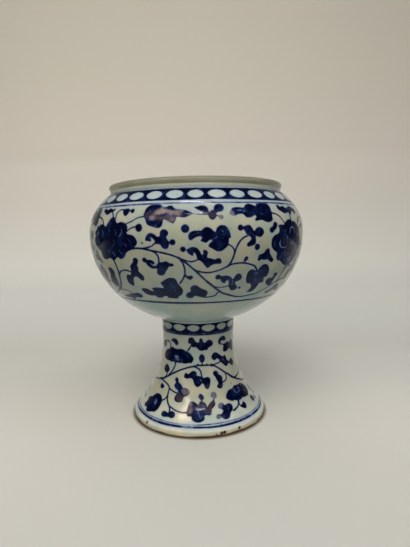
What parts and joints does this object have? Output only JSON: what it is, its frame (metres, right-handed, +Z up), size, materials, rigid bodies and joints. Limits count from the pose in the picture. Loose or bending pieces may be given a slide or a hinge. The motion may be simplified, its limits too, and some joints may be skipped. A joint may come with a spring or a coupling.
{
  "type": "footed bowl",
  "caption": "Round-bellied porcelain bowl with a closed-in mouth on a hollow flared foot, painted in cobalt blue with a scrolling floral pattern.",
  "frame": {"origin": "on the vessel's axis, in the plane that its foot ring stands on", "axes": "+Z up along the vessel's axis, -Y towards the side that the picture shows"},
  "size_m": [0.137, 0.137, 0.15],
  "materials": {
    "glazed_porcelain": "clear glaze over cobalt painting",
    "lip_glaze": "thin worn brown-dressed glaze",
    "fired_slip": "matt fired slip"
  },
  "bodies": {
    "root": {"stem_foot": "glazed_porcelain", "stem_luting": "fired_slip", "lower_bowl": "glazed_porcelain", "belly_luting": "fired_slip", "upper_bowl": "glazed_porcelain", "mouth_luting": "fired_slip", "mouth_ring": "lip_glaze"}
  },
  "joints": []
}
